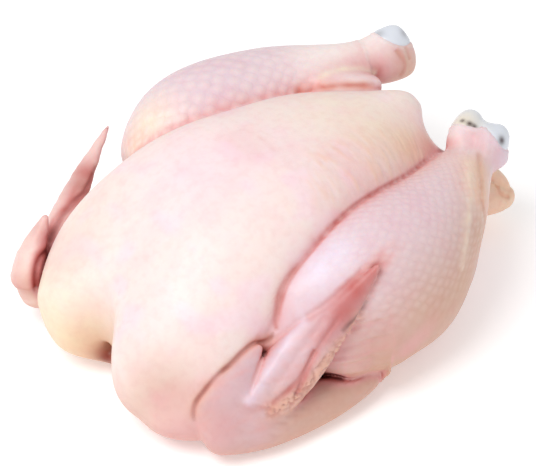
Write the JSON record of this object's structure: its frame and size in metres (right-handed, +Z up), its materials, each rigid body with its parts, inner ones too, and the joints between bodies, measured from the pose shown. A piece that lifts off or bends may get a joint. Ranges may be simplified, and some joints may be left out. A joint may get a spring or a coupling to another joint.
{
  "type": "whole raw chicken",
  "caption": "Whole raw chicken, dressed and skin on, lying on its back with the legs reaching back over an open vent and the wings folded at the shoulders.",
  "frame": {"origin": "centre of the bounding box in plan, on the surface that the bird's back rests on", "axes": "+X towards the tail and the drumstick ends, -X towards the neck, +Z up to the breast, -Y towards the bird's right side"},
  "size_m": [0.2536, 0.1932, 0.0983],
  "materials": {
    "skin": "moist raw poultry skin, pale pink and cream, soft gloss",
    "cartilage": "wet, smooth joint cartilage at the ends of the drumsticks, bluish white"
  },
  "bodies": {
    "root": {"chicken": "skin"}
  },
  "joints": []
}
